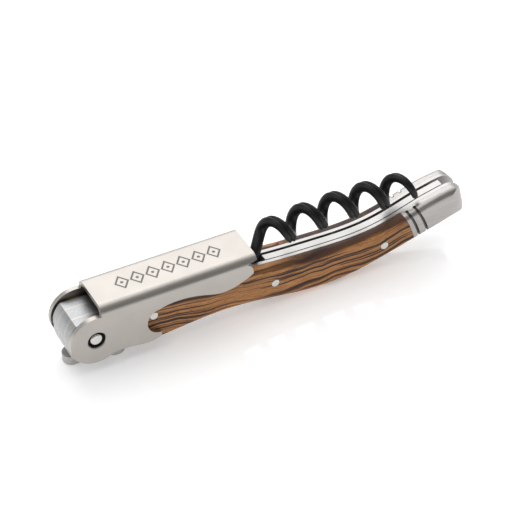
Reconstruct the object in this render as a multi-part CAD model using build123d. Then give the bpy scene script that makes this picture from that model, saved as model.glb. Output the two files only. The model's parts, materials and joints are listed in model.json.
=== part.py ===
from build123d import *
from math import cos, pi, sin
import os

os.makedirs("parts", exist_ok=True)

# A waiter's corkscrew, folded and lying on its back: the lever's hinge at the low X end,
# the tail at the high X end, the worm on top. Here x is measured from the head end and z
# from the surface it lies on; every shape is centred along X as it is written.

# ---- driving dimensions, mm ----
LENGTH = 117.0
HANDLE_W = 11.0
LINER_T = 1.0
SHEET = 1.3
BEND_R = 2.6
LEVER_TOP = 20.0
LEVER_START = 8.8
LEVER_END = 52.5
PIN_X, PIN_Z = 7.2, 10.2
EAR_R = 7.2
HEAD_R = 6.8
HEAD_FOOT = 3.0
HEAD_TOP = 15.2
BOLSTER_END = 19.4
PLATE_END = 16.6
PLATE_STEP = 0.8
WORM_Z = 10.6
WORM_PITCH = 9.35
WORM_R = 3.1
WORM_AXIS_Z = 20.3
WORM_BOW = 0.8
WORM_DIP = 0.8
WIRE_R = 1.5
TIP_R = 0.75
KNEE_OUT = 0.3
EYE_R = 2.6
BLADE_Z = 12.0
BLADE_T = 2.0
TANG_R = 4.3
CENTRE_T = 2.0

# ---- named clearances ----
RUN = 0.05
SEAM = 0.04
WASHER_PLAY = 0.04
WIRE_GAP = 0.1
LEVER_GAP = 0.2
EAR_WASHER = 0.6
EYE_WASHER = 0.4
NEAR_PLAY = 0.3

# ---- pins ----
LEVER_PIN_R = 1.8
WORM_PIN_R = 1.2
BLADE_PIN_R = 1.5
SCALE_PIN_R = 1.2
RIVET_R = 0.9
PEG_R = 0.8
PEG_DEPTH = 2.6
RING_R = 2.6
RING_DEPTH = 0.8

# ---- derived ----
WIDE = 2 * HANDLE_W
BELOW, ABOVE = -5.0, LEVER_TOP + 8.0
SLOT = 2 * (WIRE_R + WIRE_GAP)
HALF_W = HANDLE_W / 2
HALF_SLOT = SLOT / 2
LINER_OUT = HALF_SLOT + LINER_T
WALL_IN = HALF_W + LEVER_GAP
HALF_LEVER = WALL_IN + SHEET
HALF_HEAD = WALL_IN - EAR_WASHER
EYE_HALF = HALF_SLOT - EYE_WASHER
WORM_X = LEVER_END + 0.9
WORM_START = WORM_X + 5.5
WORM_TIP = LENGTH - 14.9
BLADE_X = LENGTH - 8.7
BLADE_TIP = WORM_X + 7.3
SCALE_END = LENGTH - 18.1
BLADE_PIN_HALF = HALF_W - 1.2
WORM_SEAT = (WORM_X - 6.0, HEAD_TOP + 2.2, 6.3)
TAIL_Z, TAIL_H, TAIL_LEAN, TAIL_ROUND = 14.5, 10.3, 13.5, 5.1

# Stations along the handle: share of the length, back z, belly z, back and belly edge radius
HANDLE = [
    (0.120, 3.0, HEAD_TOP, 0.8, 0.5),
    (0.222, 2.3, HEAD_TOP, 1.6, 0.5),
    (0.360, 3.2, 14.6, 2.2, 0.7),
    (0.445, 2.6, 13.3, 2.3, 1.4),
    (0.530, 1.1, 12.4, 2.3, 1.9),
    (0.625, 0.02, 11.9, 2.3, 2.1),
    (0.735, 1.4, 12.0, 2.3, 2.1),
    (0.820, 4.0, 14.1, 2.3, 2.1),
    (0.889, 6.3, 16.7, 2.3, 2.1),
    (0.957, 8.6, 18.4, 2.3, 2.1),
    (1.034, 11.6, 19.5, 2.3, 2.1),
]

SCALE_PINS = [(BOLSTER_END + 4.3, 10.4), (WORM_X + 5.2, 7.5), (LENGTH - 25.6, 7.5)]
SPINE_RIVETS = [(BOLSTER_END + 12.6, 5.2), (WORM_X - 7.4, 5.2)]
CENTRE_RIVETS = [(WORM_X + 14.1, 9.6), (LENGTH - 37.0, 9.6)]
PLATE_PEGS = [(10.0, 0), (14.2, 0)]


def prism(face, y0, y1):
    """A face drawn in (x, z), as a solid from y0 to y1."""
    return extrude(Plane.XZ.offset(-y1) * face, amount=y1 - y0)


def rod(x, z, radius, y0, y1):
    """A round bar across the handle."""
    return prism(Pos(x, z) * Circle(radius), y0, y1)


def block(x0, x1, y0, y1, z0, z1):
    """A rectangular block between two corners."""
    return Pos((x0 + x1) / 2, (y0 + y1) / 2, (z0 + z1) / 2) * Box(x1 - x0, y1 - y0, z1 - z0)


def closed(*edges):
    """A face inside a closed chain of edges."""
    return make_face(Wire(list(edges)))


def outline(points):
    """A face with straight sides."""
    return make_face(Polyline(*points, close=True))


def round_point(x, z, radius, degrees):
    """A point on a circle seen from the side."""
    return x + radius * cos(degrees * pi / 180), z + radius * sin(degrees * pi / 180)


def drilled(body, holes, play=SEAM, half=WIDE):
    """A body with a hole across it for each (x, z, radius), blind if half is given."""
    for x, z, radius in holes:
        body = body - rod(x, z, radius + play, -half, half)
    return body


# ---- the handle's outer form ----
def station(share, low, high, r_low, r_high, inset):
    """A cross-section: a flat-sided bar with rounded long edges."""
    half = HALF_W - inset
    r_b = max(r_low - inset, 0.2)
    r_t = max(r_high - inset, 0.2)
    low, high = low + inset, high - inset
    corner = [
        (-half + r_b, low), (half - r_b, low), (half, low + r_b), (half, high - r_t),
        (half - r_t, high), (-half + r_t, high), (-half, high - r_t), (-half, low + r_b),
    ]
    edges = []
    for k, radius in enumerate([0, r_b, 0, r_t, 0, r_t, 0, r_b]):
        start, end = corner[k], corner[(k + 1) % 8]
        edges.append(RadiusArc(start, end, -radius) if radius else Line(start, end))
    return Plane.YZ.offset(share * LENGTH) * make_face(Wire(edges))


def handle_bar(inset=0.0):
    """The handle's form, from behind the head to past the tail."""
    return loft([station(*row, inset) for row in HANDLE])


def tail_end():
    """Everything inside the rounded tail end, which leans as the handle does there."""
    nose = Box(LENGTH / 3, HANDLE_W, TAIL_H, align=(Align.MAX, Align.CENTER, Align.CENTER))
    nose = fillet(nose.faces().sort_by(Axis.X)[-1].edges(), TAIL_ROUND)
    end = LENGTH - TAIL_ROUND * (1 - cos(TAIL_LEAN * pi / 180))
    nose = Pos(end, 0, TAIL_Z) * Rot(0, -TAIL_LEAN, 0) * nose
    return nose + block(0, LENGTH - 12, -WIDE, WIDE, BELOW, ABOVE)


def leaning_edge(shift):
    """The bowed line where the scale meets the bolster, moved along the handle."""
    x = SCALE_END + shift
    return ThreePointArc((x - 3.3, 17.6), (x, 11.6), (x + 2.1, 5.0))


def leaning_band(start, width):
    """A bowed band parallel to the end of the scale."""
    x0, x1 = SCALE_END + start, SCALE_END + start + width
    return closed(
        leaning_edge(start),
        Line((x0 + 2.1, 5.0), (x0 + 4.7, BELOW)),
        Line((x0 + 4.7, BELOW), (x1 + 4.7, BELOW)),
        Line((x1 + 4.7, BELOW), (x1 + 2.1, 5.0)),
        leaning_edge(start + width),
        Line((x1 - 3.3, 17.6), (x1 - 7.3, ABOVE)),
        Line((x1 - 7.3, ABOVE), (x0 - 7.3, ABOVE)),
        Line((x0 - 7.3, ABOVE), (x0 - 3.3, 17.6)),
    )


def head_profile(right):
    """The head: round about the lever's pin, flat on the belly side, square at the foot."""
    round_part = Pos(PIN_X, PIN_Z) * Circle(HEAD_R)
    foot = outline([
        (0.6, PIN_Z), (0.5, 7.6), (1.0, 5.2), (2.6, HEAD_FOOT + 0.4), (PIN_X, HEAD_FOOT), (PIN_X, PIN_Z),
    ])
    shank = outline([(PIN_X, HEAD_FOOT), (right, HEAD_FOOT), (right, HEAD_TOP), (PIN_X, HEAD_TOP)])
    top = outline([(-2, HEAD_TOP), (right, HEAD_TOP), (right, ABOVE), (-2, ABOVE)])
    return round_part + foot + shank - top


def scale_profile():
    """The scale's length of the handle, from the head bolster to the leaning tail end."""
    start = BOLSTER_END + SEAM
    return closed(
        Line((start, BELOW), (start, ABOVE)),
        Line((start, ABOVE), (SCALE_END - 7.3, ABOVE)),
        Line((SCALE_END - 7.3, ABOVE), (SCALE_END - 3.3, 17.6)),
        leaning_edge(0.0),
        Line((SCALE_END + 2.1, 5.0), (SCALE_END + 4.7, BELOW)),
        Line((SCALE_END + 4.7, BELOW), (start, BELOW)),
    )


BAR = handle_bar() & tail_end()
GROOVE_FLOOR = handle_bar(inset=0.55)


# ---- the handle's pieces ----
def liner():
    """A steel liner from the head to the tail, drilled for every pin, low where the worm turns."""
    y0, y1 = HALF_SLOT, LINER_OUT
    body = BAR & block(17, LENGTH + 1, y0, y1, -1, ABOVE)
    body = body + prism(head_profile(17.5), y0, y1)
    body = body - rod(*WORM_SEAT, y0, y1)
    holes = [(PIN_X, PIN_Z, LEVER_PIN_R), (WORM_X, WORM_Z, WORM_PIN_R), (BLADE_X, BLADE_Z, BLADE_PIN_R)]
    holes += [(x, z, SCALE_PIN_R) for x, z in SCALE_PINS]
    holes += [(x, z, RIVET_R) for x, z in SPINE_RIVETS + CENTRE_RIVETS]
    return drilled(body, holes)


def scale():
    """A wooden scale, slim enough to pass inside the lever, hollowed inside where the worm turns."""
    body = BAR & prism(scale_profile(), LINER_OUT + SEAM, HALF_W)
    body = body - rod(*WORM_SEAT, 0, HALF_W - 1.0)
    return drilled(body, [(x, z, SCALE_PIN_R) for x, z in SCALE_PINS])


def tail_bolster():
    """A tail bolster with two grooves wrapped round its side, blind over the blade's pin."""
    y0, y1 = LINER_OUT + SEAM, HALF_W
    body = (BAR & block(SCALE_END - 8, LENGTH + 1, y0, y1, -1, ABOVE)) - prism(scale_profile(), y0, y1)
    for start in (1.3, 4.0):
        body = body - (prism(leaning_band(start, 0.75), y1 - 2.2, y1 + 1) - GROOVE_FLOOR)
    return drilled(body, [(BLADE_X, BLADE_Z, BLADE_PIN_R)], half=BLADE_PIN_HALF + SEAM)


def head_bolster():
    """The thick cheek of the head that the lever's ear turns against."""
    cheek = prism(head_profile(BOLSTER_END), LINER_OUT + SEAM, HALF_HEAD)
    return drilled(cheek, [(PIN_X, PIN_Z, LEVER_PIN_R)])


def head_spacer():
    """The steel block between the liners at the head, bored from below for the plate's pegs."""
    half = HALF_SLOT - SEAM
    body = prism(head_profile(18.0), -half, half)
    body = body + (BAR & block(17, 28, -half, half, 7.0, ABOVE))
    for x, y in PLATE_PEGS:
        body = body - Pos(x, y, HEAD_FOOT) * Cylinder(PEG_R + SEAM, 2 * (PEG_DEPTH + SEAM))
    return drilled(body, [(PIN_X, PIN_Z, LEVER_PIN_R), (*SCALE_PINS[0], SCALE_PIN_R)])


def back_spring():
    """The spring strip along the back, thinned towards its free end."""
    half = HALF_SLOT - SEAM
    start, end = 18.0 + SEAM, WORM_X + 3.6
    side = closed(
        Line((start, BELOW), (start, 7.0 - SEAM)),
        Spline((start, 7.0 - SEAM), (start + 16, 6.8), (end - 7, 6.6), (end, 3.6)),
        Line((end, 3.6), (end, BELOW)),
        Line((end, BELOW), (start, BELOW)),
    )
    return drilled(BAR & prism(side, -half, half), [(x, z, RIVET_R) for x, z in SPINE_RIVETS])


def end_plate():
    """The lobed plate under the head: a narrow tab in front, waisted, with a broad lobe behind."""
    tab = Pos(0.3, 0) * SlotOverall(9.0, 4.8, align=(Align.MIN, Align.CENTER))
    lobe = RectangleRounded(6.0, 2 * HALF_HEAD - 0.4, 2.9, align=(Align.MAX, Align.CENTER))
    lobe = Pos(PLATE_END, 0) * lobe
    middle = Pos(8.4, 0) * Ellipse(3.6, 3.7)
    front = extrude(tab, amount=HEAD_FOOT - SEAM)
    rear = Pos(0, 0, PLATE_STEP) * extrude(lobe + middle, amount=HEAD_FOOT - SEAM - PLATE_STEP)
    front = fillet(front.edges().group_by(Axis.Z)[0], 0.7)
    rear = fillet(rear.edges().group_by(Axis.Z)[0], 0.6)
    plate = front + rear
    for x, y in PLATE_PEGS:
        plate = plate - Pos(x, y, HEAD_FOOT) * Cylinder(PEG_R + SEAM, 2 * (PEG_DEPTH / 2 + SEAM))
    return plate - handle_bar()


def plate_pegs():
    """The two blind pegs that join the plate to the head."""
    pegs = [Pos(x, y, HEAD_FOOT + PEG_DEPTH / 4) * Cylinder(PEG_R, 1.5 * PEG_DEPTH) for x, y in PLATE_PEGS]
    return Compound(pegs)


def centre_spring():
    """The flat spring let in flush with the belly, from behind the worm's eye to the blade's tang."""
    y0 = -HALF_SLOT + NEAR_PLAY
    left, low = WORM_X + 3.8, 7.4
    pin_x, pin_z = SCALE_PINS[1]
    step_x, step_z = pin_x + SCALE_PIN_R + 0.6, pin_z + SCALE_PIN_R + 0.35
    seat = [round_point(BLADE_X, BLADE_Z, TANG_R + NEAR_PLAY, turn) for turn in (150, 112, 75)]
    side = closed(
        Line((left, step_z), (step_x, step_z)),
        Line((step_x, step_z), (step_x, low)),
        Line((step_x, low), (SCALE_END - 4.9, low)),
        Line((SCALE_END - 4.9, low), seat[0]),
        ThreePointArc(*seat),
        Line(seat[2], (BLADE_X + 3.4, 19.2)),
        Line((BLADE_X + 3.4, 19.2), (BLADE_X + 3.4, ABOVE)),
        Line((BLADE_X + 3.4, ABOVE), (left + 1.6, ABOVE)),
        Line((left + 1.6, ABOVE), (left + 1.6, 13.6)),
        ThreePointArc((left + 1.6, 13.6), (left + 0.5, 12.6), (left, 11.2)),
        Line((left, 11.2), (left, step_z)),
    )
    holes = [(*SCALE_PINS[2], SCALE_PIN_R)] + [(x, z, RIVET_R) for x, z in CENTRE_RIVETS]
    return drilled(BAR & prism(side, y0, y0 + CENTRE_T), holes)


# ---- pins, rivets and washers ----
def domed_pin(x, z, radius, half, dome):
    """A through pin with both ends domed."""
    body = rod(x, z, radius, -half, half)
    return fillet(body.edges().filter_by(GeomType.CIRCLE), dome)


def scale_pins():
    """The three pins through the scales, domed just proud of the wood."""
    half = HALF_W + LEVER_GAP / 3
    return Compound([domed_pin(x, z, SCALE_PIN_R, half, 0.25) for x, z in SCALE_PINS])


def rivets(holes):
    """Plain rivets, finished flush with the liners' outer faces."""
    return Compound([rod(x, z, RIVET_R, -LINER_OUT, LINER_OUT) for x, z in holes])


def washers(x, z, bore, rim, y0, y1):
    """A washer on each side of a hinge, with play on both faces."""
    ring = Circle(rim) - Circle(bore + RUN)
    sides = ((WASHER_PLAY - y1, -y0 - WASHER_PLAY), (y0 + WASHER_PLAY, y1 - WASHER_PLAY))
    return Compound([prism(Pos(x, z) * ring, a, b) for a, b in sides])


# ---- the lever ----
def lever_notch():
    """The opening in the lever's side that shows the end of the scale."""
    left, right = BOLSTER_END + 5.6, LEVER_END + 2
    lip = LEVER_END - 1.2
    curve = [(left - 0.4, 13.5), (left + 5.2, 14.3), (lip - 15.3, 13.5), (lip - 8.7, 11.9), (lip - 3.3, 13.1)]
    return closed(
        Line((left, BELOW), (left, 5.9)),
        ThreePointArc((left, 5.9), (left - 3.8, 10.2), curve[0]),
        Spline(*curve, (lip, 14.8)),
        Line((lip, 14.8), (right, 14.8)),
        Line((right, 14.8), (right, BELOW)),
        Line((right, BELOW), (left, BELOW)),
    )


def lever_profile():
    """The lever from the side: round ears, a flat top and a short lip at its free end."""
    ears = Pos(PIN_X, PIN_Z) * Circle(EAR_R)
    heel = round_point(PIN_X, PIN_Z, EAR_R, -80)
    lip, edge = LEVER_END - 1.2, BOLSTER_END + 5.6
    body = closed(
        Line((LEVER_START, ABOVE), (LEVER_START, PIN_Z)),
        Line((LEVER_START, PIN_Z), heel),
        Spline(heel, (12.0, 4.5), (17.0, 4.2), (edge, 4.6)),
        Line((edge, 4.6), (lip, 4.6)),
        Line((lip, 4.6), (lip, 14.8)),
        ThreePointArc((lip, 14.8), (lip - 0.1, 16.4), (lip - 1.7, LEVER_TOP - 1.9)),
        Line((lip - 1.7, LEVER_TOP - 1.9), (LEVER_END, LEVER_TOP - SHEET)),
        Line((LEVER_END, LEVER_TOP - SHEET), (LEVER_END, ABOVE)),
        Line((LEVER_END, ABOVE), (LEVER_START, ABOVE)),
    )
    return ears + body - lever_notch()


def lever():
    """The stamped channel: one sheet bent down both sides, with an ear at each side."""
    outer = fillet(Rectangle(2 * HALF_LEVER, 2 * LEVER_TOP).vertices(), BEND_R)
    inner = fillet(Rectangle(2 * WALL_IN, 2 * (LEVER_TOP - SHEET)).vertices(), BEND_R - SHEET)
    channel = extrude(Plane.YZ * (outer - inner), amount=LEVER_END + 1)
    channel = channel & block(-1, LEVER_END + 1, -WIDE, WIDE, 0, ABOVE)
    body = channel & prism(lever_profile(), -WIDE, WIDE)
    body = drilled(body, [(PIN_X, PIN_Z, LEVER_PIN_R)], RUN)
    recess = Cone(LEVER_PIN_R + RUN, RING_R, RING_DEPTH, align=(Align.CENTER, Align.CENTER, Align.MIN))
    for turn, y in ((90, RING_DEPTH - HALF_LEVER), (-90, HALF_LEVER - RING_DEPTH)):
        body = body - Pos(PIN_X, y, PIN_Z) * Rot(turn, 0, 0) * recess
    return body


# ---- the worm ----
def worm_axis_z(x):
    """The height of the worm's axis: slightly bowed, and drawn down at its root."""
    share = (x - WORM_START) / (WORM_TIP - WORM_START)
    return WORM_AXIS_Z + WORM_BOW * (1 - (2 * share - 1) ** 2) - WORM_DIP * (1 - share) ** 6


def worm_point(x):
    """A point on the right-handed helix, which starts at the far side heading up."""
    turn = 2 * pi * (x - WORM_START) / WORM_PITCH
    return Vector(x, WORM_R * cos(turn), worm_axis_z(x) + WORM_R * sin(turn))


def helix_points(x0, x1, count):
    return [worm_point(x0 + (x1 - x0) * k / count) for k in range(count + 1)]


def swept(path, *stops):
    """A wire of round section along a path, through (fraction, radius) stops."""
    sections = [Plane(path @ t, z_dir=path % t) * Circle(radius) for t, radius in stops]
    return sweep(sections, path=path, multisection=len(sections) > 1)


def worm():
    """The worm: an eye for its pin, a short shank, five turns and a tapered point."""
    taper_x = WORM_TIP - WORM_PITCH * 0.8
    ahead = worm_point(WORM_START + 0.05) - worm_point(WORM_START)
    foot = Vector(WORM_X + 0.5, 0, WORM_Z + 1.2)
    knee = Vector(WORM_X + 2.2, KNEE_OUT, WORM_Z + 4.8)
    shank = Spline(foot, knee, worm_point(WORM_START), tangents=[Vector(1.7, 0, 3.6), ahead])
    turns = Spline(*helix_points(WORM_START, taper_x, 54))
    point = Spline(*helix_points(taper_x, WORM_TIP, 10))
    body = swept(shank, (0, WIRE_R)) + swept(turns, (0, WIRE_R))
    body = body + swept(point, (0, WIRE_R), (0.5, WIRE_R * 0.86), (1, TIP_R))
    body = body + Pos(worm_point(WORM_TIP)) * Sphere(TIP_R * 1.05)
    body = body - block(WORM_X - 3, WORM_X + 3, EYE_HALF, HALF_SLOT, WORM_Z - 3, WORM_Z + EYE_R + 0.2)
    body = body - block(WORM_X - 3, WORM_X + 3, -HALF_SLOT, -EYE_HALF, WORM_Z - 3, WORM_Z + EYE_R + 0.2)
    eye = rod(WORM_X, WORM_Z, EYE_R, -EYE_HALF, EYE_HALF)
    return drilled(body + eye, [(WORM_X, WORM_Z, WORM_PIN_R)], RUN)


# ---- the foil blade ----
def blade_profile():
    """The small blade folded in the back: round tang, straight edge, dropped point."""
    tip, heel = BLADE_TIP, BLADE_X - 9.9
    tang = round_point(BLADE_X, BLADE_Z, TANG_R, 140)
    back = [(tip, 3.1), (tip + 6, 1.6), (tip + 14, 0.95), (tip + 21, 0.75), (tip + 27, 1.1)]
    back += [(BLADE_X - 14.3, 2.7), (BLADE_X - 8.3, 5.5), (BLADE_X - 3.4, 9.3)]
    body = closed(
        Spline(*back),
        Line(back[-1], tang),
        Line(tang, (heel + 2.9, 8.4)),
        ThreePointArc((heel + 2.9, 8.4), (heel + 1.5, 6.9), (heel, 6.5)),
        Spline((heel, 6.5), (BLADE_X - 15, 5.8), (tip + 26, 5.75), (tip + 14, 5.7), (tip + 5, 5.2), back[0]),
    )
    return body + Pos(BLADE_X, BLADE_Z) * Circle(TANG_R)


def foil_blade():
    """The blade, ground on both faces towards its edge, with a nail nick near the point."""
    half = BLADE_T / 2
    body = prism(blade_profile(), -half, half)
    grind = outline([(half, 3.3), (0.15, 6.4), (2 * half, 6.4), (2 * half, 3.3)])
    start, end = BLADE_TIP - 1, BLADE_X - 11.4
    for side in (-1, 1):
        cut = extrude(Plane.YZ.offset(start) * grind, amount=end - start)
        body = body - (cut if side > 0 else mirror(cut, about=Plane.XZ))
    nick = Pos(BLADE_TIP + 26, 2.0) * Rot(0, 0, 8) * SlotOverall(6.0, 0.8)
    body = body - prism(nick, -half, 0.4 - half)
    return drilled(body, [(BLADE_X, BLADE_Z, BLADE_PIN_R)], RUN)


nodes = {}
paired = {"liner": liner, "scale": scale, "tail_bolster": tail_bolster, "head_bolster": head_bolster}
for name, make in paired.items():
    nodes["far_" + name] = make()
    nodes["near_" + name] = mirror(nodes["far_" + name], about=Plane.XZ)
nodes["head_spacer"] = head_spacer()
nodes["back_spring"] = back_spring()
nodes["centre_spring"] = centre_spring()
nodes["end_plate"] = end_plate()
nodes["plate_pegs"] = plate_pegs()
nodes["scale_pins"] = scale_pins()
nodes["spine_rivets"] = rivets(SPINE_RIVETS)
nodes["centre_rivets"] = rivets(CENTRE_RIVETS)
nodes["lever_pin"] = domed_pin(PIN_X, PIN_Z, LEVER_PIN_R, HALF_LEVER - 0.2, 0.7)
nodes["lever_washers"] = washers(PIN_X, PIN_Z, LEVER_PIN_R, 4.4, HALF_HEAD, WALL_IN)
nodes["worm_pin"] = rod(WORM_X, WORM_Z, WORM_PIN_R, -LINER_OUT, LINER_OUT)
nodes["worm_washers"] = washers(WORM_X, WORM_Z, WORM_PIN_R, EYE_R - 0.3, EYE_HALF, HALF_SLOT)
nodes["blade_pin"] = rod(BLADE_X, BLADE_Z, BLADE_PIN_R, -BLADE_PIN_HALF, BLADE_PIN_HALF)
nodes["blade_washers"] = washers(BLADE_X, BLADE_Z, BLADE_PIN_R, TANG_R - 0.8, BLADE_T / 2, HALF_SLOT)
nodes["lever"] = lever()
nodes["worm"] = worm()
nodes["foil_blade"] = foil_blade()
for name, shape in nodes.items():
    print(name, round(shape.volume, 1), len(shape.solids()), shape.is_valid)
    export_step(Pos(-LENGTH / 2, 0, 0) * shape, "parts/" + name + ".step")
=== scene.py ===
import json
import math

import bmesh
import bpy
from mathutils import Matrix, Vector


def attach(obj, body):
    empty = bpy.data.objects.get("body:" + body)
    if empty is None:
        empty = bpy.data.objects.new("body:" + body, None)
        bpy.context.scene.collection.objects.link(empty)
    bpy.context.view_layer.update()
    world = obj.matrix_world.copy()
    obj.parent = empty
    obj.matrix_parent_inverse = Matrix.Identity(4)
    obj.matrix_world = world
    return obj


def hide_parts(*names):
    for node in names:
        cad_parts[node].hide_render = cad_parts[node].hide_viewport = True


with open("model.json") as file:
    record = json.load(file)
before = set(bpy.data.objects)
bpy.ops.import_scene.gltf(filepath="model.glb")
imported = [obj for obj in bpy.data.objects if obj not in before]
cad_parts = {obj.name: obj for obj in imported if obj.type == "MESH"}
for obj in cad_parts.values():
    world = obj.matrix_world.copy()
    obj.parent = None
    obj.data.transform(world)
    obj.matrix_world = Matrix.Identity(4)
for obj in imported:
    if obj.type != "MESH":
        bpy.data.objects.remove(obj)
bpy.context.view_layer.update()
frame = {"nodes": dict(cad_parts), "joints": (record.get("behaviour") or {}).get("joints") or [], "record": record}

# A folded waiter's corkscrew on a white table. +X runs from the lever's hinge to the tail,
# +Z is up; sizes named *_MM are in millimetres, everything else is in metres.
MM = 0.001
JOINTS = {joint["name"]: joint for joint in frame["joints"]}
LEVER_PIN = Vector(JOINTS["lever_hinge"]["pos_m"])
WORM_PIN = Vector(JOINTS["worm_hinge"]["pos_m"])


# ---- material nodes ----
class Value:
    """A socket of one material; sums written on it add the nodes that work them out."""

    def __init__(self, finish, socket):
        self.finish = finish
        self.socket = socket

    def sum(self, operation, *values):
        inputs = dict(enumerate(values))
        return self.finish.node("ShaderNodeMath", {"operation": operation}, inputs)

    def __add__(self, other):
        return self.sum("ADD", self, other)

    def __radd__(self, other):
        return self.sum("ADD", other, self)

    def __sub__(self, other):
        return self.sum("SUBTRACT", self, other)

    def __rsub__(self, other):
        return self.sum("SUBTRACT", other, self)

    def __mul__(self, other):
        return self.sum("MULTIPLY", self, other)

    def __rmul__(self, other):
        return self.sum("MULTIPLY", other, self)

    def __truediv__(self, other):
        return self.sum("DIVIDE", self, other)

    def __pow__(self, power):
        return self.sum("POWER", self, power)

    def __abs__(self):
        return self.sum("ABSOLUTE", self)

    def floor(self):
        return self.sum("FLOOR", self)

    def fade(self, start, end):
        """0 at start, 1 at end and smooth between."""
        settings = {"interpolation_type": "SMOOTHSTEP"}
        return self.finish.node("ShaderNodeMapRange", settings, {0: self, 1: start, 2: end})


class Finish:
    """A material with one Principled shader, and the few ways its nodes are added."""

    def __init__(self, name, **fixed):
        self.material = bpy.data.materials.new(name)
        self.material.use_nodes = True
        self.tree = self.material.node_tree
        self.tree.nodes.clear()
        self.shader = self.tree.nodes.new("ShaderNodeBsdfPrincipled")
        output = self.tree.nodes.new("ShaderNodeOutputMaterial")
        self.tree.links.new(self.shader.outputs[0], output.inputs[0])
        for socket, value in fixed.items():
            self.shader.inputs[socket.replace("_", " ")].default_value = value
        self.here = self.node("ShaderNodeTexCoord", out=3)

    def node(self, kind, settings=None, inputs=None, out=0):
        """Adds a node: its settings first, then the values or links of its sockets."""
        node = self.tree.nodes.new(kind)
        for name, value in (settings or {}).items():
            if name == "stops":
                self.set_stops(node.color_ramp, value)
            else:
                setattr(node, name, value)
        for name, value in (inputs or {}).items():
            self.join(node.inputs[name], value)
        return Value(self, node.outputs[out])

    def set_stops(self, ramp, stops):
        while len(ramp.elements) < len(stops):
            ramp.elements.new(1.0)
        for element, (place, shade) in zip(ramp.elements, stops):
            element.position = place
            element.color = (*shade, 1.0)

    def join(self, socket, value):
        if isinstance(value, Value):
            self.tree.links.new(value.socket, socket)
        else:
            socket.default_value = value

    def set(self, socket, value):
        self.join(self.shader.inputs[socket], value)

    def axes(self):
        """The point's x, y and z in millimetres."""
        inputs = {0: self.here, "Scale": 1 / MM}
        scaled = self.node("ShaderNodeVectorMath", {"operation": "SCALE"}, inputs)
        split = self.node("ShaderNodeSeparateXYZ", None, {0: scaled})
        sockets = split.socket.node.outputs
        return [Value(self, socket) for socket in sockets]

    def point(self, x, y, z):
        return self.node("ShaderNodeCombineXYZ", None, {0: x, 1: y, 2: z})

    def noise(self, where, scale=1.0, detail=2.0, roughness=0.5):
        inputs = {"Vector": where, "Scale": scale, "Detail": detail, "Roughness": roughness}
        return self.node("ShaderNodeTexNoise", None, inputs)

    def ramp(self, factor, *stops):
        return self.node("ShaderNodeValToRGB", {"stops": stops}, {0: factor})

    def blend(self, factor, below, above):
        """One colour over another."""
        inputs = {0: factor, 6: self.shade(below), 7: self.shade(above)}
        return self.node("ShaderNodeMix", {"data_type": "RGBA"}, inputs, out=2)

    def shade(self, colour):
        return colour if isinstance(colour, Value) else (*colour, 1.0)

    def bump(self, height, strength, depth_mm):
        inputs = {"Height": height, "Strength": strength, "Distance": depth_mm * MM}
        self.set("Normal", self.node("ShaderNodeBump", None, inputs))


def brushed(*settings):
    """Steel brushed along one axis, with nothing else on it."""
    return brushed_steel(*settings)[0]


def brushed_steel(name, colour, roughness, along, fineness=9.0, contrast=0.12, relief=0.01):
    """Steel brushed along one axis: fine parallel scratches in colour, gloss and height."""
    steel = Finish(name, Metallic=1.0)
    x, y, z = steel.axes()
    stretch = [0.06 if axis == along else fineness for axis in "xyz"]
    lines = steel.noise(steel.point(x * stretch[0], y * stretch[1], z * stretch[2]), 1.0, 3.0, 0.6)
    cloud = steel.noise(steel.point(x, y, z), 0.14, 2.0)
    light = [min(1.0, part * (1 + contrast)) for part in colour]
    dark = [part * (1 - contrast) for part in colour]
    shade = steel.ramp(lines * 0.75 + cloud * 0.25, (0.3, dark), (0.7, light))
    steel.set("Base Color", shade)
    steel.set("Roughness", lines * 0.16 + cloud * 0.08 + (roughness - 0.12))
    steel.bump(lines, 0.5, relief)
    return steel, shade


# ---- the finishes ----
# The two grooves in each tail bolster: where the wood ends, how far behind it each starts,
# their width, and the height at which their bowed line passes the end of the wood.
WOOD_END_MM, GROOVE_STARTS_MM, GROOVE_WIDTH_MM, GROOVE_MID_Z = 40.4, (1.3, 4.0), 0.75, 11.6
# The lever's recess round the pin, and the colour of the painted shade in it.
RECESS_MM, PAINTED_RECESS_SHADE = 2.3, (0.02, 0.019, 0.018)


def lever_finish():
    """Satin pressed steel, with a ring of painted shade in the pin's recess and an etched row on top."""
    steel = Finish("lever_satin_steel", Metallic=1.0)
    x, y, z = steel.axes()
    grain = steel.noise(steel.point(x * 3.0, y * 11.0, z * 11.0), 1.0, 4.0, 0.65)
    cloud = steel.noise(steel.point(x, y, z), 0.12, 2.0)
    low, high = (0.425, 0.40, 0.37), (0.52, 0.492, 0.455)
    shade = steel.ramp(grain * 0.6 + cloud * 0.4, (0.3, low), (0.7, high))
    across, up = x - LEVER_PIN.x / MM, z - LEVER_PIN.z / MM
    from_pin = (across * across + up * up) ** 0.5
    # Painted shade: a dark ring on the steel round the pin, where its recess lies in shade.
    recess = (1 - from_pin.fade(RECESS_MM, RECESS_MM + 0.2)) * abs(y).fade(5.9, 6.1)
    etched = etched_row(x, y, z)
    # The painted shade of the recess goes over the steel here.
    shade = steel.blend(recess, shade, PAINTED_RECESS_SHADE)
    shade = steel.blend(etched * 0.8, shade, (0.13, 0.125, 0.12))
    steel.set("Base Color", shade)
    steel.set("Roughness", grain * 0.14 + 0.27 + recess * 0.3 + etched * 0.25)
    steel.bump(grain * 0.12 - etched, 0.6, 0.12)
    return steel


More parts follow.
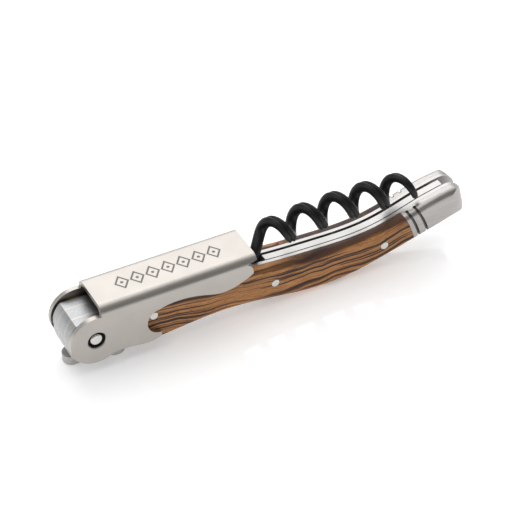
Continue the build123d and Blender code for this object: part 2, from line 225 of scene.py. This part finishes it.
def bolster_finish():
    """Satin steel, with painted shade in the two bowed grooves at the end of the wood."""
    colour, groove_shade = (0.44, 0.425, 0.41), (0.05, 0.045, 0.042)
    steel, lines = brushed_steel("bolster_satin_steel", colour, 0.36, "x", 3.0, 0.16, 0.012)
    x, y, z = steel.axes()
    up = z - GROOVE_MID_Z
    along = x - WOOD_END_MM + up * 0.44 + up * up * 0.0184
    grooves = 0.0
    for start in GROOVE_STARTS_MM:
        end = start + GROOVE_WIDTH_MM
        grooves = grooves + along.fade(start - 0.1, start) * (1 - along.fade(end, end + 0.1))
    # Painted shade: the grooves' faces are darkened where they lie in shade.
    groove = grooves * abs(y).fade(3.2, 3.4)
    steel.set("Base Color", steel.blend(groove * 0.85, lines, groove_shade))
    return steel


def etched_row(x, y, z):
    """A row of small outlined lozenges, each with a dot, along the middle of the lever's top."""
    first, pitch, count, stroke = -43.0, 4.3, 7, 0.25
    step = (x - first) / pitch
    along = abs((step - step.floor() - 0.5) * pitch)
    edge = along / 1.75 + abs(y) / 2.3
    outline = 1 - abs(edge - 1).fade(stroke * 0.45, stroke * 0.75)
    dot = 1 - (along * along + y * y).fade(0.1, 0.22)
    inside = step.fade(-0.01, 0.01) * (1 - step.fade(count - 0.01, count + 0.01))
    return (outline + dot) * inside * z.fade(19.8, 19.9)


def wood_finish():
    """Striped hardwood: orange-brown with wavy dark stripes along the handle, fine pores, and a band of painted
    shade along the rounded belly edge.
    """
    wood = Finish("striped_wood", IOR=1.4)
    x, y, z = wood.axes()
    belly = 11.9 + 0.0038 * (x - 12) * (x - 12)
    sway = wood.noise(wood.point(x * 0.05, y * 0.05, z * 0.03), 1.0, 2.0)
    level = z - belly * 0.55 + y * 0.2 + sway * 7.0 - x * 0.02
    bands = wood.noise(wood.point(x * 0.016, y * 0.08, level * 0.45), 1.0, 3.0, 0.55)
    lines = wood.noise(wood.point(x * 0.022, y * 0.15, level * 1.15), 1.0, 3.0, 0.55)
    fibre = wood.noise(wood.point(x * 0.25, y * 5.0, level * 5.0), 1.0, 3.0, 0.6)
    pores = wood.noise(wood.point(x * 0.8, y * 4.0, z * 4.0), 1.0, 2.0, 0.5).fade(0.60, 0.68)
    stripe = lines.fade(0.505, 0.56) * 0.95
    broad = bands.fade(0.52, 0.62) * 0.8
    # Painted shade: a dark band where the wood rounds over at the belly edge and turns away from the light.
    depth = belly - z + lines * 2.4 - 1.2
    rim = (1 - depth.fade(0.9, 1.7)) * x.fade(2, 10) * 0.85
    light = wood.ramp(fibre, (0.3, (0.36, 0.145, 0.045)), (0.7, (0.70, 0.33, 0.115)))
    shade = wood.blend(broad, light, (0.085, 0.034, 0.016))
    shade = wood.blend(stripe, shade, (0.028, 0.012, 0.008))
    # The painted shade along the belly edge goes over the wood here.
    shade = wood.blend(rim, shade, (0.045, 0.022, 0.020))
    shade = wood.blend(pores * 0.55, shade, (0.035, 0.015, 0.009))
    wood.set("Base Color", shade)
    wood.set("Roughness", 0.48 + fibre * 0.12 - stripe * 0.06 + pores * 0.15)
    wood.bump(fibre * 0.35 - pores, 0.35, 0.05)
    return wood


def worm_finish():
    """Black satin coating, slightly uneven, on a wire that a cork keeps clean."""
    black = Finish("black_coating", IOR=1.36)
    x, y, z = black.axes()
    grain = black.noise(black.point(x, y, z), 5.0, 4.0, 0.6)
    cloud = black.noise(black.point(x, y, z), 0.5, 2.0)
    dark, light = (0.004, 0.004, 0.005), (0.009, 0.009, 0.010)
    black.set("Base Color", black.ramp(cloud, (0.3, dark), (0.7, light)))
    black.set("Roughness", 0.27 + grain * 0.14 + cloud * 0.06)
    black.bump(grain, 0.25, 0.03)
    return black


def brass_finish():
    """Plain turned washers."""
    brass = Finish("washer_brass", Metallic=1.0)
    x, y, z = brass.axes()
    grain = brass.noise(brass.point(x, y * 0.2, z), 7.0, 3.0)
    brass.set("Base Color", brass.ramp(grain, (0.3, (0.55, 0.40, 0.16)), (0.7, (0.68, 0.52, 0.24))))
    brass.set("Roughness", 0.28 + grain * 0.15)
    return brass


def table_finish():
    """A polished white table top that glows faintly, as painted light that lightens the shadows on it."""
    # Painted light: the table's own glow, which is never shadowed, lightens the shadows cast on it.
    glow = {"Emission_Color": (1, 1, 1, 1), "Emission_Strength": 0.33}
    top = Finish("white_table", Roughness=0.07, IOR=1.6, **glow)
    cloud = top.noise(top.here, 1.5, 2.0)
    top.set("Base Color", top.ramp(cloud, (0.0, (0.87, 0.87, 0.87)), (1.0, (0.88, 0.88, 0.88))))
    return top


FINISHES = {
    "lever_steel": lever_finish(),
    "head_steel": brushed("head_brushed_steel", (0.43, 0.435, 0.44), 0.38, "xz", 7.0, 0.32, 0.02),
    "bolster_steel": bolster_finish(),
    "liner_steel": brushed("ground_steel", (0.50, 0.49, 0.48), 0.40, "x", 5.0, 0.14, 0.004),
    "pin_steel": brushed("pin_steel", (0.66, 0.65, 0.63), 0.24, "y", 6.0, 0.10, 0.004),
    "blade_steel": brushed("blade_steel", (0.60, 0.60, 0.60), 0.20, "z", 9.0, 0.08, 0.004),
    "black_worm": worm_finish(),
    "striped_wood": wood_finish(),
    "brass_washer": brass_finish(),
}


def give_finish(piece, slot):
    """Sets the finish on every slot of a piece, or on a new one."""
    if not piece.material_slots:
        piece.data.materials.append(None)
    for material_slot in piece.material_slots:
        material_slot.material = FINISHES[slot].material


for part in frame["record"]["subparts"]:
    give_finish(frame["nodes"][part["node"]], part["material_slot"])


# ---- the worm ----
PITCH_MM, COIL_MM, AXIS_MM, BOW_MM, DIP_MM = 9.35, 3.1, 20.3, 0.8, 0.8
WIRE_MM, TIP_MM, EYE_MM, EYE_HALF_MM, BORE_MM = 1.5, 0.78, 2.6, 1.2, 1.25
FLUTE_DEPTH, FLUTE_WIDTH = 0.34, 0.26
ROOT_X = WORM_PIN.x / MM + 5.5
TIP_X = 43.6
RING = 28


def coil_turn(x):
    """The helix's angle at x, in radians from the coil's root."""
    return 2 * math.pi * (x - ROOT_X) / PITCH_MM


def coil_point(x):
    """A point on the worm's right-handed helix, in millimetres."""
    share = (x - ROOT_X) / (TIP_X - ROOT_X)
    turn = coil_turn(x)
    height = AXIS_MM + BOW_MM * (1 - (2 * share - 1) ** 2) - DIP_MM * (1 - share) ** 6
    return Vector((x, COIL_MM * math.cos(turn), height + COIL_MM * math.sin(turn)))


def shank_points(count):
    """From the eye to the root of the coil, as two smooth spans."""
    foot = WORM_PIN / MM + Vector((0.5, 0, 1.2))
    knee = WORM_PIN / MM + Vector((2.2, 0.3, 4.8))
    root = coil_point(ROOT_X)
    ahead = (coil_point(ROOT_X + 0.05) - root).normalized()
    bend = Vector((0.56, 0.42, 0.71))
    spans = (
        (foot, knee, Vector((1.7, 0, 3.6)), bend * 4.0),
        (knee, root, bend * 5.4, ahead * 5.4),
    )
    points = []
    for start, end, leaving, arriving in spans:
        for k in range(count):
            t = k / count
            points.append(
                start * (2 * t**3 - 3 * t**2 + 1) + leaving * (t**3 - 2 * t**2 + t)
                + end * (3 * t**2 - 2 * t**3) + arriving * (t**3 - t**2)
            )
    return points


def worm_path():
    """The wire's centre line with its radius, and the way that its flute faces."""
    steps = 460
    places = [ROOT_X + (TIP_X - ROOT_X) * k / steps for k in range(steps + 1)]
    coil = [coil_point(x) for x in places]
    taper = TIP_X - 0.8 * PITCH_MM
    thinned = [max(0, (p.x - taper) / (TIP_X - taper)) ** 1.6 for p in coil]
    outward = [Vector((0, math.cos(turn), math.sin(turn))) for turn in map(coil_turn, places)]
    shank = shank_points(26)
    radii = [WIRE_MM] * len(shank) + [WIRE_MM - (WIRE_MM - TIP_MM) * share for share in thinned]
    return shank + coil, radii, [outward[0]] * len(shank) + outward


def flute(angle, depth):
    """The wire's radius round its section, as a share: a groove where the angle is near 0."""
    return 1 - depth * math.exp(-((angle / FLUTE_WIDTH) ** 2))


def worm_wire(mesh):
    """The fluted wire, with a rounded point."""
    points, radii, faces = worm_path()
    last = len(points) - 1
    rows = []
    facing = faces[-1]
    for k in reversed(range(last + 1)):
        ahead = (points[min(k + 1, last)] - points[max(k - 1, 0)]).normalized()
        facing = faces[k] if points[k].x > ROOT_X else facing
        facing = (facing - ahead * facing.dot(ahead)).normalized()
        side = ahead.cross(facing)
        depth = FLUTE_DEPTH * min(1.0, (last - k) / 60) * min(1.0, k / 40)
        rows.append((points[k], radii[k], facing, side, depth, ahead))
    rows.reverse()
    tip, radius, facing, side, depth, ahead = rows[-1]
    for turn in (30, 55, 75):
        angle = math.radians(turn)
        centre = tip + ahead * radius * math.sin(angle)
        rows.append((centre, radius * math.cos(angle), facing, side, 0, ahead))
    rings = []
    for centre, radius, facing, side, depth, ahead in rows:
        ring = []
        for j in range(RING):
            angle = 2 * math.pi * j / RING
            near = (angle + math.pi) % (2 * math.pi) - math.pi
            reach = radius * flute(near, depth)
            place = centre + (facing * math.cos(angle) + side * math.sin(angle)) * reach
            ring.append(mesh.verts.new(place * MM))
        rings.append(ring)
    for a, b in zip(rings, rings[1:]):
        for j in range(RING):
            mesh.faces.new((a[j], a[(j + 1) % RING], b[(j + 1) % RING], b[j]))
    mesh.faces.new(list(reversed(rings[0])))
    mesh.faces.new(rings[-1])


def worm_eye(mesh):
    """The flattened ring that turns on the worm's pin."""
    rim = EYE_MM - 0.3
    profile = [(BORE_MM, -1), (rim, -1), (EYE_MM, -0.75), (EYE_MM, 0.75), (rim, 1), (BORE_MM, 1)]
    count = 64
    rings = []
    for j in range(count):
        angle = 2 * math.pi * j / count
        out = Vector((math.cos(angle), 0, math.sin(angle)))
        ring = [WORM_PIN + (out * r + Vector((0, side * EYE_HALF_MM, 0))) * MM for r, side in profile]
        rings.append([mesh.verts.new(place) for place in ring])
    for j in range(count):
        a, b = rings[j], rings[(j + 1) % count]
        for i in range(len(profile)):
            n = (i + 1) % len(profile)
            mesh.faces.new((a[i], b[i], b[n], a[n]))


def make_piece(name, slot, body, *makers):
    """A new piece from the shapes that its makers add, smooth but for sharp edges."""
    mesh = bmesh.new()
    for maker in makers:
        maker(mesh)
    bmesh.ops.recalc_face_normals(mesh, faces=mesh.faces)
    data = bpy.data.meshes.new(name)
    mesh.to_mesh(data)
    mesh.free()
    data.shade_smooth()
    data.set_sharp_from_angle(angle=math.radians(40))
    piece = bpy.data.objects.new(name, data)
    bpy.context.collection.objects.link(piece)
    give_finish(piece, slot)
    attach(piece, body)
    return piece


worm = make_piece("fluted_worm", "black_worm", "worm", worm_wire, worm_eye)
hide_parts("worm")


# ---- the table, the light and the camera ----
def table_top():
    half = 1.5
    data = bpy.data.meshes.new("table_top")
    corners = [(-half, -half, 0), (half, -half, 0), (half, half, 0), (-half, half, 0)]
    data.from_pydata(corners, [], [(0, 1, 2, 3)])
    data.materials.append(table_finish().material)
    table = bpy.data.objects.new("table_top", data)
    bpy.context.collection.objects.link(table)
    table.location.z = -0.00005


def softbox(name, place, size, radiance):
    """A square area light aimed at the corkscrew, set by how bright its face looks."""
    data = bpy.data.lights.new(name, "AREA")
    data.shape = "SQUARE"
    data.size = size
    data.energy = radiance * math.pi * size * size
    lamp = bpy.data.objects.new(name, data)
    lamp.location = place
    lamp.rotation_euler = (-Vector(place)).to_track_quat("-Z", "Y").to_euler()
    bpy.context.collection.objects.link(lamp)


def studio():
    """A white room, darker in front."""
    world = bpy.data.worlds.new("studio")
    bpy.context.scene.world = world
    world.use_nodes = True
    tree = world.node_tree
    tree.nodes.clear()
    where = tree.nodes.new("ShaderNodeTexCoord")
    split = tree.nodes.new("ShaderNodeSeparateXYZ")
    ramp = tree.nodes.new("ShaderNodeMapRange")
    backdrop = tree.nodes.new("ShaderNodeBackground")
    output = tree.nodes.new("ShaderNodeOutputWorld")
    limits = {"From Min": -0.9, "From Max": 0.6, "To Min": 0.32, "To Max": 0.80}
    for name, value in limits.items():
        ramp.inputs[name].default_value = value
    tree.links.new(where.outputs["Generated"], split.inputs[0])
    tree.links.new(split.outputs["Y"], ramp.inputs["Value"])
    tree.links.new(ramp.outputs[0], backdrop.inputs["Strength"])
    tree.links.new(backdrop.outputs[0], output.inputs[0])


def camera():
    """A long lens, from the head end, looking down at the near side."""
    target = Vector((-0.00302, -0.0004, 0.01414))
    azimuth, elevation, distance = math.radians(-27.685), math.radians(39.969), 0.5399
    level = math.cos(elevation)
    back = Vector((math.sin(azimuth) * level, -math.cos(azimuth) * level, math.sin(elevation)))
    data = bpy.data.cameras.new("camera")
    data.lens, data.sensor_width = 146.55, 36.0
    data.clip_start, data.clip_end = 0.01, 20.0
    eye = bpy.data.objects.new("camera", data)
    eye.location = target + back * distance
    eye.rotation_euler = (-back).to_track_quat("-Z", "Y").to_euler()
    bpy.context.collection.objects.link(eye)
    bpy.context.scene.camera = eye


table_top()
softbox("back_softbox", (0.35, 0.75, 0.75), 1.1, 1.35)
softbox("top_softbox", (-0.1, 0.1, 1.3), 1.4, 1.0)
softbox("left_softbox", (-1.1, 0.1, 0.6), 0.8, 1.0)
studio()
camera()
bpy.context.scene.view_settings.view_transform = "Standard"
